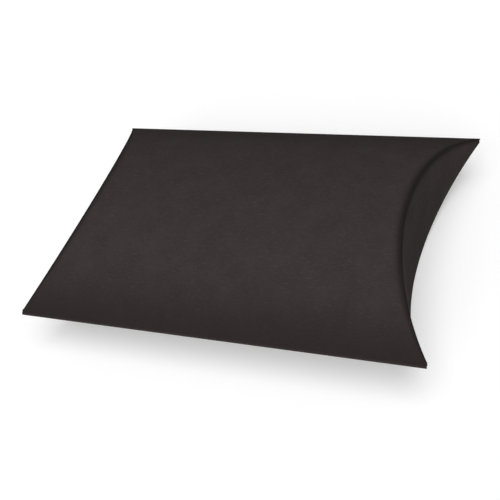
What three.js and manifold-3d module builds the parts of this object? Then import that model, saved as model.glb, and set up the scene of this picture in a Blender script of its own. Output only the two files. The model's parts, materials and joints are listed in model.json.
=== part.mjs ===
// A pillow box of plain dark card, closed: two bowed panels that meet along two straight side folds,
// and two curved flaps that shut each end. Millimetres, +Z up, +X along the side folds.
// The origin lies on the surface that the box rests on, under the middle of the box.

import * as THREE from "three";
import { mergeVertices } from "three/addons/utils/BufferGeometryUtils.js";
import Module from "manifold-3d";

// Sizes of the box
const foldLength = 162; // of each side fold, from ear to ear
const panelWidth = 121.3; // of one panel laid flat, fold to fold; bowed it spans about 114
const boxHeight = 35; // between the crowns of the two panels, and of a closed end at its middle
const boardThickness = 0.5;
const earBlunt = 1.5; // the creases would meet in a sharp ear this far past the end of the fold

// Sizes of the end flaps
const freeEdgeTrim = 1; // the outer flap stops this far short of the face that the box rests on
const innerFlapTrim = 0.7; // the inner flap stops this far short of the plane of the side folds

// Sizes of the glued side seam
const tabWidth = 12; // laid flat, from the side fold to its free edge
const tabEndClearance = 2; // between an end of the tab and the flap beside it
const glueFilm = 0.15;
const glueMargin = 2; // bare board left round the glue

// Clearances between neighbours
const foldGap = 0.3; // across each crease and side fold
const flapGap = 0.6; // between the outer and the inner flap of one end
const glueGap = 0.15; // between the glue and the board on each side of it

const facets = 25; // flat strips across a panel; odd, so that one lies on the crown

const wasm = await Module();
wasm.setup();

// Dyed-through board, a shade darker where the flaps stand upright, and dried white glue
const card = new THREE.MeshStandardMaterial({
  color: 0x3a3434,
  roughness: 0.72,
  metalness: 0,
  flatShading: true,
});
const flapCard = new THREE.MeshStandardMaterial({
  color: 0x342f2f,
  roughness: 0.72,
  metalness: 0,
  flatShading: true,
});
const glue = new THREE.MeshStandardMaterial({
  color: 0xe6e0d2,
  roughness: 0.45,
  metalness: 0,
  flatShading: true,
});

// The bow of a panel: points (y, z) across its outer face, with z from the plane of the side folds.
// The height follows the circular arc that the end crease has in the flat sheet, because only that
// height brings a folded flap upright, and each strip keeps its width while the sheet bows.
function bowedCurve() {
  const rise = boxHeight / 2 - foldGap / 2;
  const half = panelWidth / 2;
  const radius = (half ** 2 + rise ** 2) / (2 * rise);
  const strip = panelWidth / facets;
  const heightAt = (v) => boxHeight / 2 - radius + Math.sqrt(radius ** 2 - v ** 2);
  const points = [new THREE.Vector2(0, heightAt(-half))];
  for (let i = 1; i <= facets; i++) {
    const last = points[i - 1];
    const z = heightAt(-half + strip * i);
    points.push(new THREE.Vector2(last.x + Math.sqrt(strip ** 2 - (z - last.y) ** 2), z));
  }
  const middle = points[facets].x / 2;
  return points.map((point) => new THREE.Vector2(point.x - middle, point.y));
}

const bow = bowedCurve();
const crown = Math.max(...bow.map((point) => point.y));
const halfSpan = bow[facets].x;

// Where a crease meets the plane of the side folds. The crease lies in the plane that slopes up from
// there at 45 degrees. The bottom panel is shorter, so that the inner flaps pass behind the outer ones.
const topReach = foldLength / 2 + earBlunt;
const bottomReach = topReach - boardThickness - flapGap;

function stripNormal(from, to) {
  return new THREE.Vector2(from.y - to.y, to.x - from.x).normalize();
}

// A curve moved to a depth under the outer face, with every strip parallel to itself.
function sunk(curve, depth) {
  const end = curve.length - 1;
  return curve.map((point, i) => {
    const before = stripNormal(curve[Math.max(i - 1, 0)], curve[Math.max(i, 1)]);
    const after = stripNormal(curve[Math.min(i, end - 1)], curve[Math.min(i + 1, end)]);
    const middle = before.clone().add(after).normalize();
    return point.clone().addScaledVector(middle, -depth / middle.dot(before));
  });
}

// A closed outline, extruded by a length that is centred on the plane of the outline.
function prism(outline, length) {
  const options = { depth: length, bevelEnabled: false };
  return new THREE.ExtrudeGeometry(new THREE.Shape(outline), options).translate(0, 0, -length / 2);
}

// The same for an outline drawn across the box, as (y, z), and extruded along it.
function prismAlong(outline, length) {
  const across = new THREE.Matrix4().makeBasis(
    new THREE.Vector3(0, 1, 0),
    new THREE.Vector3(0, 0, 1),
    new THREE.Vector3(1, 0, 0),
  );
  return prism(outline, length).applyMatrix4(across);
}

function solid(geometry) {
  const bare = geometry.clone();
  bare.deleteAttribute("normal");
  bare.deleteAttribute("uv");
  const merged = mergeVertices(bare);
  return new wasm.Manifold(
    new wasm.Mesh({
      numProp: 3,
      vertProperties: merged.attributes.position.array,
      triVerts: new Uint32Array(merged.index.array),
    }),
  );
}

function piece(name, body, material) {
  const made = body.getMesh();
  const geometry = new THREE.BufferGeometry();
  geometry.setAttribute("position", new THREE.BufferAttribute(made.vertProperties, 3));
  geometry.setIndex(new THREE.BufferAttribute(made.triVerts, 1));
  geometry.computeVertexNormals();
  const mesh = new THREE.Mesh(geometry, material);
  mesh.name = name;
  return mesh;
}

// All space past the top right crease, moved off it by a gap. Its wall leaves the crease along the
// line that halves the corner between panel and flap, so that it mitres both of them.
function pastCrease(reach, gap) {
  const side = halfSpan + boxHeight;
  const outline = [
    new THREE.Vector2(-side, -Math.SQRT2 * bow[0].y),
    ...bow.map((point) => new THREE.Vector2(point.x, -Math.SQRT2 * point.y)),
    new THREE.Vector2(side, -Math.SQRT2 * bow[facets].y),
    new THREE.Vector2(side, 2 * boxHeight),
    new THREE.Vector2(-side, 2 * boxHeight),
  ];
  const away = new THREE.Vector3(1, 0, -1).normalize();
  const creasePlane = new THREE.Matrix4().makeBasis(
    new THREE.Vector3(0, 1, 0),
    away,
    new THREE.Vector3(-1, 0, -1).normalize(),
  );
  creasePlane.setPosition(away.multiplyScalar(gap).add(new THREE.Vector3(reach, 0, 0)));
  return prism(outline, 4 * boxHeight).applyMatrix4(creasePlane);
}

// One bowed panel, as the top one lies, with its creases cut at both ends.
function panel(reach) {
  const outside = solid(prismAlong(bow, foldLength));
  const inside = solid(prismAlong(sunk(bow, boardThickness), foldLength + boxHeight));
  const rightEnd = solid(pastCrease(reach, 0));
  const leftEnd = solid(pastCrease(reach, 0).rotateZ(Math.PI));
  return outside.subtract(inside).subtract(rightEnd).subtract(leftEnd);
}

// One upright flap, as it hangs from the top right crease. Seen from above it follows the crease.
// The outline of its free edge is drawn across the box, from one side to the other.
function hangingFlap(reach, freeEdge) {
  const plan = bow.map((point) => new THREE.Vector2(point.x, -point.y));
  const sheet = [...plan, ...sunk(plan, boardThickness).reverse()];
  const turned = sheet.map((point) => new THREE.Vector2(reach + point.y, point.x));
  const below = new THREE.Vector2(halfSpan, boxHeight);
  const outline = [...freeEdge, below, new THREE.Vector2(-below.x, below.y)];
  const ears = new THREE.BoxGeometry(foldLength, 2 * panelWidth, 2 * boxHeight);
  return solid(prism(turned, 2 * boxHeight))
    .intersect(solid(pastCrease(reach, foldGap)))
    .intersect(solid(prismAlong(outline, 2 * foldLength)))
    .intersect(solid(ears));
}

// The outer flap is as deep as the end is high.
function outerFlap() {
  const freeEdge = bow.map((point) => new THREE.Vector2(point.x, freeEdgeTrim - point.y));
  return hangingFlap(topReach, freeEdge);
}

// The inner flap ends in a straight cut, half way up the end, so that it can follow the outer flap
// out at the same angle without touching it.
function innerFlap() {
  const freeEdge = [
    new THREE.Vector2(-halfSpan, innerFlapTrim),
    new THREE.Vector2(halfSpan, innerFlapTrim),
  ];
  return hangingFlap(bottomReach, freeEdge);
}

// A layer of the side seam, under the near edge of a panel as the top one lies. It fills the depths
// from one to the other, and the flat widths from one to the other, measured from the side fold.
function seamLayer(depths, widths, endClearance) {
  const strip = panelWidth / facets;
  const pointAt = (curve, width) => {
    const i = Math.min(Math.floor(width / strip), facets - 1);
    return curve[i].clone().lerp(curve[i + 1], width / strip - i);
  };
  const stretch = (depth) => {
    const curve = sunk(bow, depth);
    const inside = curve.filter((_, i) => i * strip > widths[0] && i * strip < widths[1]);
    return [pointAt(curve, widths[0]), ...inside, pointAt(curve, widths[1])];
  };
  const section = [...stretch(depths[0]), ...stretch(depths[1]).reverse()];
  const halfLengthAt = (point) => bottomReach - point.y - boardThickness - endClearance;
  const near = pointAt(bow, widths[0]);
  const far = pointAt(bow, widths[1]);
  const plan = [
    new THREE.Vector2(-halfLengthAt(near), near.x),
    new THREE.Vector2(halfLengthAt(near), near.x),
    new THREE.Vector2(halfLengthAt(far), far.x + depths[1]),
    new THREE.Vector2(-halfLengthAt(far), far.x + depths[1]),
  ];
  const abovePlane = new THREE.BoxGeometry(foldLength, 2 * panelWidth, boxHeight).translate(
    0,
    0,
    (boxHeight + foldGap) / 2,
  );
  return solid(prismAlong(section, foldLength))
    .intersect(solid(prism(plan, 2 * boxHeight)))
    .intersect(solid(abovePlane));
}

const glueDepth = boardThickness + glueGap;
const tabDepth = glueDepth + glueFilm + glueGap;

function glueTab() {
  return seamLayer([tabDepth, tabDepth + boardThickness], [0, tabWidth], tabEndClearance);
}

function glueLine() {
  const depths = [glueDepth, glueDepth + glueFilm];
  return seamLayer(depths, [glueMargin, tabWidth - glueMargin], tabEndClearance + glueMargin);
}

// The bottom panel, its seam and the inner flaps are made as on top and turned over with this group.
function lowerHalf() {
  const half = new THREE.Group();
  half.add(piece("bottom_panel", panel(bottomReach), card));
  half.add(piece("glue_tab", glueTab(), card));
  half.add(piece("glue_line", glueLine(), glue));
  half.add(piece("right_inner_flap", innerFlap(), flapCard));
  half.add(turnedEnd(piece("left_inner_flap", innerFlap(), flapCard)));
  half.rotation.x = Math.PI;
  return half;
}

function upperHalf() {
  const half = new THREE.Group();
  half.add(piece("top_panel", panel(topReach), card));
  half.add(piece("right_outer_flap", outerFlap(), flapCard));
  half.add(turnedEnd(piece("left_outer_flap", outerFlap(), flapCard)));
  return half;
}

// A flap of the right end, turned to the left end.
function turnedEnd(flap) {
  flap.rotation.z = Math.PI;
  return flap;
}

const pillowBox = new THREE.Group();
pillowBox.add(upperHalf(), lowerHalf());
pillowBox.position.z = crown;

export default pillowBox;
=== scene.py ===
import functools
import itertools
import json
import math

import bmesh
import bpy
from mathutils import Matrix, Vector
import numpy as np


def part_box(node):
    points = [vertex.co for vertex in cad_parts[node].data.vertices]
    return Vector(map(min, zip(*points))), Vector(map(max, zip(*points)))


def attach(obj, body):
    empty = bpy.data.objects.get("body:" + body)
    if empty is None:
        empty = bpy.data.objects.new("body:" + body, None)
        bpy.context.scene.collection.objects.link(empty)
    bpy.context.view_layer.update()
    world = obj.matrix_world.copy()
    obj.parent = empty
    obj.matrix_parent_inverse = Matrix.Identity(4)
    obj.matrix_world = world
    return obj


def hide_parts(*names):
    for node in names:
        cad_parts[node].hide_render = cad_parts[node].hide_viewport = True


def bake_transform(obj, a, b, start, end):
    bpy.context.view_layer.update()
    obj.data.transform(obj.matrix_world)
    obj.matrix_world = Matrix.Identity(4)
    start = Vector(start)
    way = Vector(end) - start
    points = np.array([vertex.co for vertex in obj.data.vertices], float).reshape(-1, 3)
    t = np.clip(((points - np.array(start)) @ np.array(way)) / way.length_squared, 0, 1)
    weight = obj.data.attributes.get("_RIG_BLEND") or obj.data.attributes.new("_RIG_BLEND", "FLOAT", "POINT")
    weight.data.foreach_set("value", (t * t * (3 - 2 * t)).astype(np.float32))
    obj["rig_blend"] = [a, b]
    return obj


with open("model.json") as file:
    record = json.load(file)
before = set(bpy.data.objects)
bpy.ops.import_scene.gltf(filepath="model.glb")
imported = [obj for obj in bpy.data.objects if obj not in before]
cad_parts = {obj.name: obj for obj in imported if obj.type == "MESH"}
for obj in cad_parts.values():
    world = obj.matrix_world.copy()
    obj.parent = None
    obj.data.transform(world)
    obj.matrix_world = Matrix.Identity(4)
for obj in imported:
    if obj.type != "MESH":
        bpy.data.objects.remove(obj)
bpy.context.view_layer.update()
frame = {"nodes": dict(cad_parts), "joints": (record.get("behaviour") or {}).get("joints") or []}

# Top panel: the upper half of the one sheet of dyed-through card, bowed between two straight side
# folds and two curved end creases. The sheet is die-cut and creased flat, and the folded ends hold
# its bow. The board is modelled as its outer face, which then gets the board's thickness inwards.
MM = 0.001
BOARD = 0.5 * MM
PANEL_WIDTH = 121.3 * MM  # laid flat, from side fold to side fold
SIDE_FOLD_START = 0.6 * MM  # short of the side fold, where the board starts to round over
CREASE_RADIUS = 0.7 * MM  # of the outer face, round an end crease
CREASE_MIDDLE = CREASE_RADIUS * math.pi / 4  # along the rounded crease, from either side of it
CREASE_LEAD = 0.4 * MM  # of flat board beside a crease, made in one piece with the flap
SLIT = 0.02 * MM  # between the root of a flap and the blunt ear beside it
CUT_SOFTNESS = 0.07 * MM  # of a die-cut edge
CREASE_SHADE_WIDTH = 1.8 * MM  # to either side of a crease, over which a painted shade darkens the card
CREASE_SHADE_SHIFT = 0.2 * MM  # of the painted crease shade, from the crease towards the panel
MARGIN_SHADE_WIDTH = 17 * MM  # beside a side fold, a painted shade for the bow turning from the light
MARGIN_SHADE_SHARE = 0.75  # of the darkness of the crease shade, painted on the margins beside the side folds
RUB_WIDTH = 0.5 * MM  # to either side of a side fold, rubbed by handling

panel_low, panel_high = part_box("top_panel")
hinge_of = {joint["child"]: Vector(joint["pos_m"]) for joint in frame["joints"]}
fold_half = panel_high.x
side_fold_z = (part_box("bottom_panel")[0].z + panel_high.z) / 2
crown = panel_high.z - side_fold_z
arc_rise = panel_high.z - panel_low.z
arc_radius = ((PANEL_WIDTH / 2) ** 2 + arc_rise**2) / (2 * arc_rise)


def bow_height(v):
    """Height of the outer face above the side folds, v from the crown in the flat sheet."""
    return crown - arc_radius + math.sqrt(arc_radius**2 - v**2)


def bow_lean(v):
    """Angle between the outer face and the horizontal there."""
    return math.asin(v / math.sqrt(arc_radius**2 - v**2))


def bow_v(height):
    """Distance from the crown, in the flat sheet, at which the outer face has that height."""
    return math.sqrt(arc_radius**2 - (height - crown + arc_radius) ** 2)


@functools.lru_cache(maxsize=None)
def bow_span(v):
    """Distance from the middle of the box at which that part of the bowed sheet lies."""
    steps = 200
    return sum(math.cos(bow_lean(v * (i + 0.5) / steps)) for i in range(steps)) * v / steps


round_v = PANEL_WIDTH / 2 - SIDE_FOLD_START
round_lean = bow_lean(round_v)
side_fold_radius = bow_height(round_v) / math.cos(round_lean)
fold_v = round_v + side_fold_radius * (math.pi / 2 - round_lean)


def section(v):
    """The outer face across the upper half: distance from the middle, height and lean."""
    side, v = math.copysign(1, v), abs(v)
    if v <= round_v:
        return side * bow_span(v), bow_height(v), side * bow_lean(v)
    lean = round_lean + (v - round_v) / side_fold_radius
    y = bow_span(round_v) + side_fold_radius * (math.sin(lean) - math.sin(round_lean))
    return side * y, side_fold_radius * math.cos(lean), side * lean


def near(distance, width):
    """One at a line, and falling off to either side of it over about that width."""
    return math.exp(-((distance / width) ** 2))


def linear(colour):
    """A hex colour, from sRGB to linear."""
    channels = [int(colour[i : i + 2], 16) / 255 for i in (1, 3, 5)]
    return (*(c / 12.92 if c <= 0.04045 else ((c + 0.055) / 1.055) ** 2.4 for c in channels), 1)


def new_material(name):
    material = bpy.data.materials.new(name)
    material.use_nodes = True
    material.node_tree.nodes.clear()
    return material, material.node_tree


def node(tree, kind, settings=(), feeds=()):
    """Adds a node. A setting fills a property or a socket, and a feed links a node to a socket."""
    made = tree.nodes.new(kind)
    for key, value in dict(settings).items():
        if isinstance(key, str) and hasattr(made, key):
            setattr(made, key, value)
        else:
            made.inputs[key].default_value = value
    for key, source in dict(feeds).items():
        output = source if isinstance(source, bpy.types.NodeSocket) else source.outputs[0]
        tree.links.new(output, made.inputs[key])
    return made


# Uncoated card, dyed through its whole thickness. To the eye it is an even, dull near-black, a
# little cloudy from the pulp, with short fibres along the grain that scatter nearly all shine.
# Painted shade darkens a line along each end crease, where shade falls in the fold, and the margins
# beside the side folds, where the bow turns from the light. Handling has greyed the folds themselves.
CARD_DARK = "#373131"
CARD_LIGHT = "#3c3636"
FIBRE_COLOUR = "#4e4747"
# The colour of the painted shade along the end creases and on the margins beside the side folds.
PAINTED_SHADE_COLOUR = "#262121"
RUBBED_COLOUR = "#494242"
CARD_IOR = 1.5
CARD_SHINE = 0.01  # where a smooth surface has 0.5
CLOUD_SIZE = 11  # mm
FIBRE_LENGTH = 1.7  # mm
FIBRE_WIDTH = 0.5  # mm; real fibres are a tenth as wide, and would be too fine to show
FIBRE_HEIGHT = 0.05 * MM
FELT_SIZE = 0.4  # mm, between the fine bumps of the board's surface
RUB_SIZE = 0.8  # mm, between the places where a fold is rubbed
card, tree = new_material("dyed_through_uncoated_card")
sheet = node(tree, "ShaderNodeUVMap", {"uv_map": "flat_sheet"})
sheet_mm = node(tree, "ShaderNodeMapping", {"Scale": (1 / MM, 1 / MM, 1)}, {"Vector": sheet})
clouds = node(
    tree,
    "ShaderNodeTexNoise",
    {"Scale": 1 / CLOUD_SIZE, "Detail": 3, "Roughness": 0.6},
    {"Vector": sheet_mm},
)
grain = node(
    tree,
    "ShaderNodeMapping",
    {"Scale": (1 / FIBRE_LENGTH, 1 / FIBRE_WIDTH, 1)},
    {"Vector": sheet_mm},
)
fibres = node(
    tree, "ShaderNodeTexNoise", {"Scale": 1, "Detail": 2, "Distortion": 1.1}, {"Vector": grain}
)
felt = node(
    tree, "ShaderNodeTexNoise", {"Scale": 1 / FELT_SIZE, "Detail": 2}, {"Vector": sheet_mm}
)
cloudy = node(
    tree, "ShaderNodeMapRange", {"From Min": 0.3, "From Max": 0.7}, {"Value": clouds}
)
body = node(
    tree,
    "ShaderNodeMixRGB",
    {"Color1": linear(CARD_DARK), "Color2": linear(CARD_LIGHT)},
    {"Fac": cloudy},
)
fibrous = node(
    tree,
    "ShaderNodeMapRange",
    {"From Min": 0.52, "From Max": 0.8, "To Max": 0.5},
    {"Value": fibres},
)
with_fibres = node(
    tree,
    "ShaderNodeMixRGB",
    {"Color2": linear(FIBRE_COLOUR)},
    {"Fac": fibrous, "Color1": body},
)
# Painted shade: darker along the end creases and on the margins beside the side folds.
painted_shade = node(tree, "ShaderNodeAttribute", {"attribute_name": "painted_shade"})
with_painted_shade = node(
    tree,
    "ShaderNodeMixRGB",
    {"Color2": linear(PAINTED_SHADE_COLOUR)},
    {"Fac": painted_shade.outputs["Fac"], "Color1": with_fibres},
)
rubbed = node(tree, "ShaderNodeAttribute", {"attribute_name": "rubbed"})
rub_patches = node(
    tree, "ShaderNodeTexNoise", {"Scale": 1 / RUB_SIZE, "Detail": 3}, {"Vector": sheet_mm}
)
rub_places = node(
    tree, "ShaderNodeMapRange", {"From Min": 0.35, "From Max": 0.7}, {"Value": rub_patches}
)
rub = node(
    tree,
    "ShaderNodeMath",
    {"operation": "MULTIPLY"},
    {0: rubbed.outputs["Fac"], 1: rub_places},
)
worn = node(
    tree,
    "ShaderNodeMixRGB",
    {"Color2": linear(RUBBED_COLOUR)},
    {"Fac": rub, "Color1": with_painted_shade},
)
dullness = node(
    tree,
    "ShaderNodeMapRange",
    {"From Min": 0.3, "From Max": 0.7, "To Min": 0.84, "To Max": 0.96},
    {"Value": felt},
)
heights = node(tree, "ShaderNodeMath", {"operation": "ADD"}, {0: felt, 1: fibres})
relief = node(
    tree, "ShaderNodeBump", {"Strength": 0.8, "Distance": FIBRE_HEIGHT}, {"Height": heights}
)
surface = node(
    tree,
    "ShaderNodeBsdfPrincipled",
    {"IOR": CARD_IOR, "Specular IOR Level": CARD_SHINE},
    {"Base Color": worn, "Roughness": dullness, "Normal": relief},
)
node(tree, "ShaderNodeOutputMaterial", {}, {"Surface": surface})

# Die-cut edge of the same card. It is dyed like the faces, but it is bare, so it looks rougher and
# a little paler, with the plies as fine streaks.
PLY_COLOUR = "#4c4545"
STREAK_LENGTH = 1.5 * MM
STREAK_WIDTH = 0.12 * MM
TEAR_DEPTH = 0.04 * MM
cut_edge, tree = new_material("dyed_through_card_die_cut_edge")
place = node(tree, "ShaderNodeTexCoord")
along_plies = node(
    tree,
    "ShaderNodeMapping",
    {"Scale": (1 / STREAK_LENGTH, 1 / STREAK_LENGTH, 1 / STREAK_WIDTH)},
    {"Vector": place.outputs["Object"]},
)
streaks = node(tree, "ShaderNodeTexNoise", {"Scale": 1, "Detail": 2}, {"Vector": along_plies})
plies = node(
    tree,
    "ShaderNodeMixRGB",
    {"Color1": linear(CARD_DARK), "Color2": linear(PLY_COLOUR)},
    {"Fac": streaks},
)
torn = node(
    tree, "ShaderNodeBump", {"Strength": 0.6, "Distance": TEAR_DEPTH}, {"Height": streaks}
)
surface = node(
    tree,
    "ShaderNodeBsdfPrincipled",
    {"IOR": CARD_IOR, "Specular IOR Level": CARD_SHINE, "Roughness": 0.95},
    {"Base Color": plies, "Normal": torn},
)
node(tree, "ShaderNodeOutputMaterial", {}, {"Surface": surface})


def card_sheet(name, rows, columns, shape, cut, turn):
    """A sheet of card, lifted by the height of the side folds once it is turned into place.

    shape gives a point of its outer face for a row and a column, then its place in the flat sheet,
    how much painted shade it has, how far it is rubbed, and how far it turns as a flap opens.
    cut says whether it is on a cut.
    """
    bm = bmesh.new()
    bmesh.ops.create_grid(bm, x_segments=len(columns) - 1, y_segments=len(rows) - 1, size=1)
    flat_map = bm.loops.layers.uv.new("flat_sheet")
    # The marks: painted shade, rubbed wear, and how far a point turns as a flap opens.
    marks = [bm.verts.layers.float.new(mark) for mark in ("painted_shade", "rubbed", "unfold")]
    softened = bm.edges.layers.float.new("bevel_weight_edge")
    flat = {}
    on_cut = {}
    for vert, (row, column) in zip(bm.verts, itertools.product(rows, columns)):
        vert.co, flat[vert], *values = shape(row, column)
        on_cut[vert] = cut(row, column)
        for mark, value in zip(marks, values):
            vert[mark] = value
    for face in bm.faces:
        face.smooth = True
        for loop in face.loops:
            loop[flat_map].uv = flat[loop.vert]
    for edge in bm.edges:
        if edge.is_boundary:
            edge.smooth = False
            edge[softened] = float(all(on_cut[vert] for vert in edge.verts))
    lift = Matrix.Translation((0, 0, side_fold_z))
    bmesh.ops.transform(bm, matrix=lift @ turn, verts=bm.verts)
    mesh = bpy.data.meshes.new(name)
    bm.to_mesh(mesh)
    bm.free()
    mesh.materials.append(card)
    mesh.materials.append(cut_edge)
    piece = bpy.data.objects.new(name, mesh)
    bpy.context.scene.collection.objects.link(piece)
    board = piece.modifiers.new("board", "SOLIDIFY")
    board.thickness = BOARD
    board.offset = -1
    board.use_even_offset = True
    board.material_offset_rim = 1
    cuts = piece.modifiers.new("die_cut_edges", "BEVEL")
    cuts.limit_method = "WEIGHT"
    cuts.width = CUT_SOFTNESS
    cuts.segments = 2
    cuts.harden_normals = True
    return piece


# The rows of a sheet's mesh lie along the box, and each is given by its v. Its columns run across
# them, up to 1 over the core of a panel, and from there to 2 over the margin beside a crease.
BOW_ROWS = 44  # from the crown to the root of a flap
EAR_ROWS = 4  # from there to where the board rounds over
FOLD_ROWS = 6  # from there to the side fold
SHEET_END = 2  # the last column
PANEL_MARGIN = 4 * MM  # where the columns lie closer together


def spread(start, end, count):
    """Evenly spread values, both ends exactly among them."""
    return [start + (end - start) * i / count for i in range(count)] + [end]


def mirrored(values):
    """The values, and before them the same on the other side of nought."""
    return [-value for value in reversed(values)] + [value for value in values if value > 0]


def rows_past(root_v):
    """Rows from just past the root of a flap, over the ear and round to the side fold."""
    ear = spread(root_v + SLIT, round_v, EAR_ROWS)
    return ear + spread(round_v, fold_v, FOLD_ROWS)[1:]


def panel_shape(reach, root_v):
    """A panel whose creases lie reach out from the middle, less their height. Past the roots of
    the flaps the panel runs on to its blunt ears."""

    def shape(v, column):
        y, z, _ = section(v)
        if abs(v) <= root_v:
            end = reach - z - CREASE_RADIUS - CREASE_LEAD
        else:
            end = min(reach - z, fold_half)
        core = end - PANEL_MARGIN
        share = min(abs(column), 1)
        x = math.copysign(core * share + PANEL_MARGIN * (abs(column) - share), column)
        # Painted shade: a line along the end crease, and the margins beside the side folds.
        crease_shade_middle = reach - z - CREASE_RADIUS + CREASE_MIDDLE - CREASE_SHADE_SHIFT
        painted_shade = near(crease_shade_middle - abs(x), CREASE_SHADE_WIDTH) * (abs(v) <= root_v)
        # Painted shade on the margin beside the side fold, where the bow turns from the light.
        margin_shade = MARGIN_SHADE_SHARE * near(fold_v - abs(v), MARGIN_SHADE_WIDTH)
        rubbed = near(fold_v - abs(v), RUB_WIDTH)
        return (x, y, z), (x, v), max(painted_shade, margin_shade), rubbed, 0

    return shape


PANEL_COLUMNS = mirrored([*spread(0, 1, 10), 1.3, 1.6, 1.78, 1.9, SHEET_END])
UPPER = Matrix.Identity(4)
top_reach = hinge_of["right_outer_flap"].x + crown
outer_root_v = bow_v(top_reach - fold_half)
outer_rows = spread(0, outer_root_v, BOW_ROWS)
top_panel = card_sheet(
    "top_panel_sheet",
    mirrored(outer_rows + rows_past(outer_root_v)),
    PANEL_COLUMNS,
    panel_shape(top_reach, outer_root_v),
    lambda v, column: abs(column) == SHEET_END and abs(v) > outer_root_v,
    UPPER,
)
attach(top_panel, "shell")
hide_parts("top_panel")

# Bottom panel: the lower half of the same sheet, which the box rests on. It is a little shorter, so
# that its flaps pass behind the outer ones. Along the seam side it ends in a raw cut edge, which
# stops short of the fold and lies over the glue tab.
SEAM_SETBACK = 1.2 * MM  # from the side fold back to the raw edge
SEAM_ROWS = 3  # of the mesh, from the root of a flap to the raw edge
INNER_ROOT = 1.8 * MM  # height of a crease above the side folds at the root of an inner flap
LOWER = Matrix.Rotation(math.pi, 4, "X")
bottom_reach = hinge_of["right_inner_flap"].x + crown
inner_root_v = bow_v(INNER_ROOT)
inner_rows = spread(0, inner_root_v, BOW_ROWS)
raw_v = PANEL_WIDTH / 2 - SEAM_SETBACK
seam_rows = [-v for v in reversed(spread(inner_root_v + SLIT, raw_v, SEAM_ROWS))]
bottom_panel = card_sheet(
    "bottom_panel_sheet",
    seam_rows + mirrored(inner_rows) + rows_past(inner_root_v),
    PANEL_COLUMNS,
    panel_shape(bottom_reach, inner_root_v),
    lambda v, column: abs(column) == SHEET_END and abs(v) > inner_root_v or v == -raw_v,
    LOWER,
)
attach(bottom_panel, "shell")
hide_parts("bottom_panel")

# Glue tab: the strip of the sheet past the top panel's far side fold. It is folded in behind the
# raw edge of the bottom panel and glued to its inner face. Its ends are cut clear of the inner
# flaps.
TAB_WIDTH = 12 * MM  # laid flat
TAB_DEPTH = 0.95 * MM  # of its outer face behind that of the bottom panel
TAB_STEP = 2 * MM  # of the fold, over which the tab goes in to that depth
TAB_CLEARANCE = 2 * MM  # between an end of the tab and the inner flap beside it
TAB_FLARE = 1.5 * MM  # by which the tab is longer at its fold


def eased(share):
    """A share of the way, with a slow start and a slow end."""
    return share * share * (3 - 2 * share)


def tab_shape(v, column):
    """The tab, turned in at the side fold. Columns run from one end of it, -1, to the other, 1."""
    y, z, lean = section(v)
    inwards = fold_v + v
    depth = TAB_DEPTH * eased(min(inwards / TAB_STEP, 1))
    half_length = bottom_reach - z - BOARD - TAB_CLEARANCE + max(TAB_FLARE - inwards, 0)
    x = column * half_length
    point = (x, y - depth * math.sin(lean), z - depth * math.cos(lean))
    return point, (x, 2 * fold_v + inwards), 0, near(inwards, RUB_WIDTH), 0


step_v = TAB_STEP - fold_v
free_v = TAB_WIDTH - fold_v
# Rows round the fold, in behind the raw edge, and on to the tab's free edge.
tab_rows = [
    *spread(-fold_v, -round_v, 5),
    *spread(-round_v, step_v, 5)[1:],
    *spread(step_v, free_v, 10)[1:],
]
glue_tab = card_sheet(
    "glue_tab_sheet",
    tab_rows,
    spread(-1, 1, 40),
    tab_shape,
    lambda v, column: abs(column) == 1 or v == free_v,
    LOWER,
)
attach(glue_tab, "shell")
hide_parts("glue_tab")

# Glue line: a thin film of white glue between the tab and the bottom panel. It was rolled on and
# pressed flat, so the film that was cut out for the model is right as it is.
# Dried white glue looks milky, smooth and half clear, with small bubbles from the press.
THIN_GLUE = "#cfc8b8"
THICK_GLUE = "#ece7dc"
THIN_PLACE_SIZE = 6 * MM
BUBBLE_SIZE = 0.9 * MM
BUBBLE_DEPTH = 0.05 * MM
glue, tree = new_material("dried_white_glue")
place = node(tree, "ShaderNodeTexCoord")
bubbles = node(
    tree,
    "ShaderNodeTexVoronoi",
    {"Scale": 1 / BUBBLE_SIZE},
    {"Vector": place.outputs["Object"]},
)
thin_places = node(
    tree,
    "ShaderNodeTexNoise",
    {"Scale": 1 / THIN_PLACE_SIZE, "Detail": 2},
    {"Vector": place.outputs["Object"]},
)
milky = node(
    tree,
    "ShaderNodeMixRGB",
    {"Color1": linear(THIN_GLUE), "Color2": linear(THICK_GLUE)},
    {"Fac": thin_places},
)
dimples = node(
    tree, "ShaderNodeBump", {"Strength": 0.4, "Distance": BUBBLE_DEPTH}, {"Height": bubbles}
)
surface = node(
    tree,
    "ShaderNodeBsdfPrincipled",
    {"IOR": 1.47, "Roughness": 0.35},
    {"Base Color": milky, "Normal": dimples},
)
node(tree, "ShaderNodeOutputMaterial", {}, {"Surface": surface})
frame["nodes"]["glue_line"].material_slots[0].material = glue

# Outer flaps: the end flaps of the top panel, which shut the box with their curved crease. Each is
# still part of the sheet, and its board bends along the crease as it opens, so each point turns by
# the share of the way that lays the flap flat beside the panel.
OUTER_TRIM = 1 * MM  # the flap stops this far short of the bottom panel's outer face
RIGHT = Matrix.Identity(4)
LEFT = Matrix.Rotation(math.pi, 4, "Z")
# Columns over the flat lead, round the crease, and down the flap, closer together at its root.
FLAP_COLUMNS = [-1, *spread(0, 1, 8), 1.02, 1.05, *spread(1.1, SHEET_END, 18)]


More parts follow.
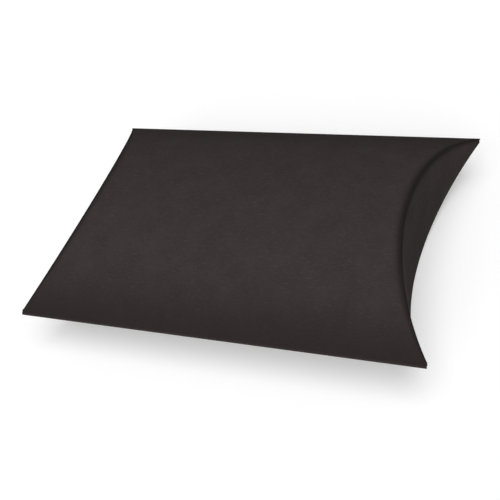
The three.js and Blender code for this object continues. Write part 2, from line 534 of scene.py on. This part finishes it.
def flap_shape(reach, free_edge):
    """A flap that hangs upright from the panel's right crease, down to the height of its free
    edge. Columns up to 0 are flat board beside the crease, up to 1 the crease, up to 2 the flap."""

    def shape(v, column):
        y, z, _ = section(v)
        crease_x = reach - z
        outward = crown - z
        lead = min(column, 0) * CREASE_LEAD
        bent = min(max(column, 0), 1)
        corner = bent * math.pi / 2
        drop = max(column - 1, 0) * (z - CREASE_RADIUS - free_edge(v))
        x = crease_x - CREASE_RADIUS * (1 - math.sin(corner)) + lead
        height = z - CREASE_RADIUS * (1 - math.cos(corner)) - drop
        along = lead + CREASE_RADIUS * corner + drop
        # Painted shade along the crease, where shade falls in the fold.
        painted_shade = near(along - CREASE_MIDDLE + CREASE_SHADE_SHIFT, CREASE_SHADE_WIDTH)
        laid_flat = 1 - 4 / math.pi * math.atan2(outward, outward + CREASE_RADIUS + drop)
        unfold = laid_flat * eased(bent)
        return (x, y, height), (crease_x - CREASE_RADIUS + along, v), painted_shade, 0, unfold

    return shape


def hang_flaps(kind, reach, rows, free_edge, half, to_folds):
    """Makes the right and the left flap of a panel. Each swings about its crease, on the way from
    the shell to its own body, and the sheet's own shares take the place of the even ones."""
    root_v = rows[-1]
    for side, end in (("right", RIGHT), ("left", LEFT)):
        body_name = f"{side}_{kind}_flap"
        flap = card_sheet(
            f"{body_name}_sheet",
            mirrored(rows),
            FLAP_COLUMNS,
            flap_shape(reach, free_edge),
            lambda v, column: column == SHEET_END or abs(v) == root_v and column >= 0,
            half @ end,
        )
        hinge = hinge_of[body_name]
        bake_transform(flap, "shell", body_name, start=hinge, end=hinge + Vector((0, 0, to_folds)))
        marks = flap.data.attributes
        unfold = [mark.value for mark in marks["unfold"].data]
        marks["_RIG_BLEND"].data.foreach_set("value", unfold)
        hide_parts(body_name)


hang_flaps("outer", top_reach, outer_rows, lambda v: OUTER_TRIM - bow_height(v), UPPER, -crown)

# Inner flaps: the end flaps of the bottom panel, which stand up behind the outer ones. They are cut
# straight at half the height of the end, and swing out on their creases as the outer ones do.
INNER_TRIM = 0.7 * MM  # the flap stops this far short of the plane of the side folds
hang_flaps("inner", bottom_reach, inner_rows, lambda v: INNER_TRIM, LOWER, crown)

# Floor, light and camera: a plain pale floor in a white room, lit by two broad soft lights, and
# seen from where the photograph was taken. The floor is lifted to the white of the room wherever
# it is seen or mirrored, which leaves its shadows and the light on the box as they are.
FLOOR_REACH = 3  # metres, from its middle to each side
FLOOR_COLOUR = "#e7e7e7"
FLOOR_LIFT = 0.28
floor_mesh = bpy.data.meshes.new("floor")
bm = bmesh.new()
bmesh.ops.create_grid(bm, x_segments=1, y_segments=1, size=FLOOR_REACH)
bm.to_mesh(floor_mesh)
bm.free()
floor = bpy.data.objects.new("floor", floor_mesh)
bpy.context.scene.collection.objects.link(floor)


def share_of_seen_rays(tree):
    """One for the rays that see the room, directly, mirrored or through glass, and else nought."""
    path = node(tree, "ShaderNodeLightPath")
    seen = path.outputs["Is Camera Ray"]
    for kind in ("Is Glossy Ray", "Is Transmission Ray"):
        seen = node(
            tree, "ShaderNodeMath", {"operation": "MAXIMUM"}, {0: seen, 1: path.outputs[kind]}
        )
    return seen


pale, tree = new_material("pale_floor")
matt = node(tree, "ShaderNodeBsdfDiffuse", {"Color": linear(FLOOR_COLOUR)})
lifted = node(
    tree,
    "ShaderNodeMath",
    {"operation": "MULTIPLY", 1: FLOOR_LIFT},
    {0: share_of_seen_rays(tree)},
)
glow = node(tree, "ShaderNodeEmission", {}, {"Strength": lifted})
both = node(tree, "ShaderNodeAddShader", {}, {0: matt, 1: glow})
node(tree, "ShaderNodeOutputMaterial", {}, {"Surface": both})
floor_mesh.materials.append(pale)

ROOM_LIGHT = 0.22
world = bpy.data.worlds.new("white_room")
bpy.context.scene.world = world
world.use_nodes = True
world.node_tree.nodes.clear()
tree = world.node_tree
strength = node(
    tree,
    "ShaderNodeMapRange",
    {"To Min": ROOM_LIGHT, "To Max": 1},
    {"Value": share_of_seen_rays(tree)},
)
room = node(tree, "ShaderNodeBackground", {"Color": linear("#ffffff")}, {"Strength": strength})
node(tree, "ShaderNodeOutputWorld", {}, {"Surface": room})

# The bearing of a light is in degrees from the front towards the right, and its height in degrees
# above the floor.
LIGHT_SPREAD = math.radians(60)
for name, power, bearing, height in (
    ("front_light", 1.5, 0, 25),
    ("right_light", 1.7, 30, 75),
):
    light_data = bpy.data.lights.new(name, "SUN")
    light_data.energy = power
    light_data.angle = LIGHT_SPREAD
    light = bpy.data.objects.new(name, light_data)
    light.rotation_euler = (math.radians(90 - height), 0, math.radians(bearing))
    bpy.context.scene.collection.objects.link(light)

CAMERA_PLACE = Vector((132.9, -214.1, 255.2)) * MM
CAMERA_HEADING = math.radians(32.82)  # to the left of the box's far side
CAMERA_DIP = math.radians(44.77)  # below the horizontal
CAMERA_ROLL = math.radians(-19.41)
CAMERA_LENS = 61.83  # mm, for a frame 36 mm wide
camera_data = bpy.data.cameras.new("camera")
camera_data.lens = CAMERA_LENS
camera_data.clip_start = 10 * MM
camera = bpy.data.objects.new("camera", camera_data)
camera.matrix_world = (
    Matrix.Translation(CAMERA_PLACE)
    @ Matrix.Rotation(CAMERA_HEADING, 4, "Z")
    @ Matrix.Rotation(math.pi / 2 - CAMERA_DIP, 4, "X")
    @ Matrix.Rotation(CAMERA_ROLL, 4, "Z")
)
bpy.context.scene.collection.objects.link(camera)
bpy.context.scene.camera = camera
bpy.context.scene.view_settings.view_transform = "Standard"
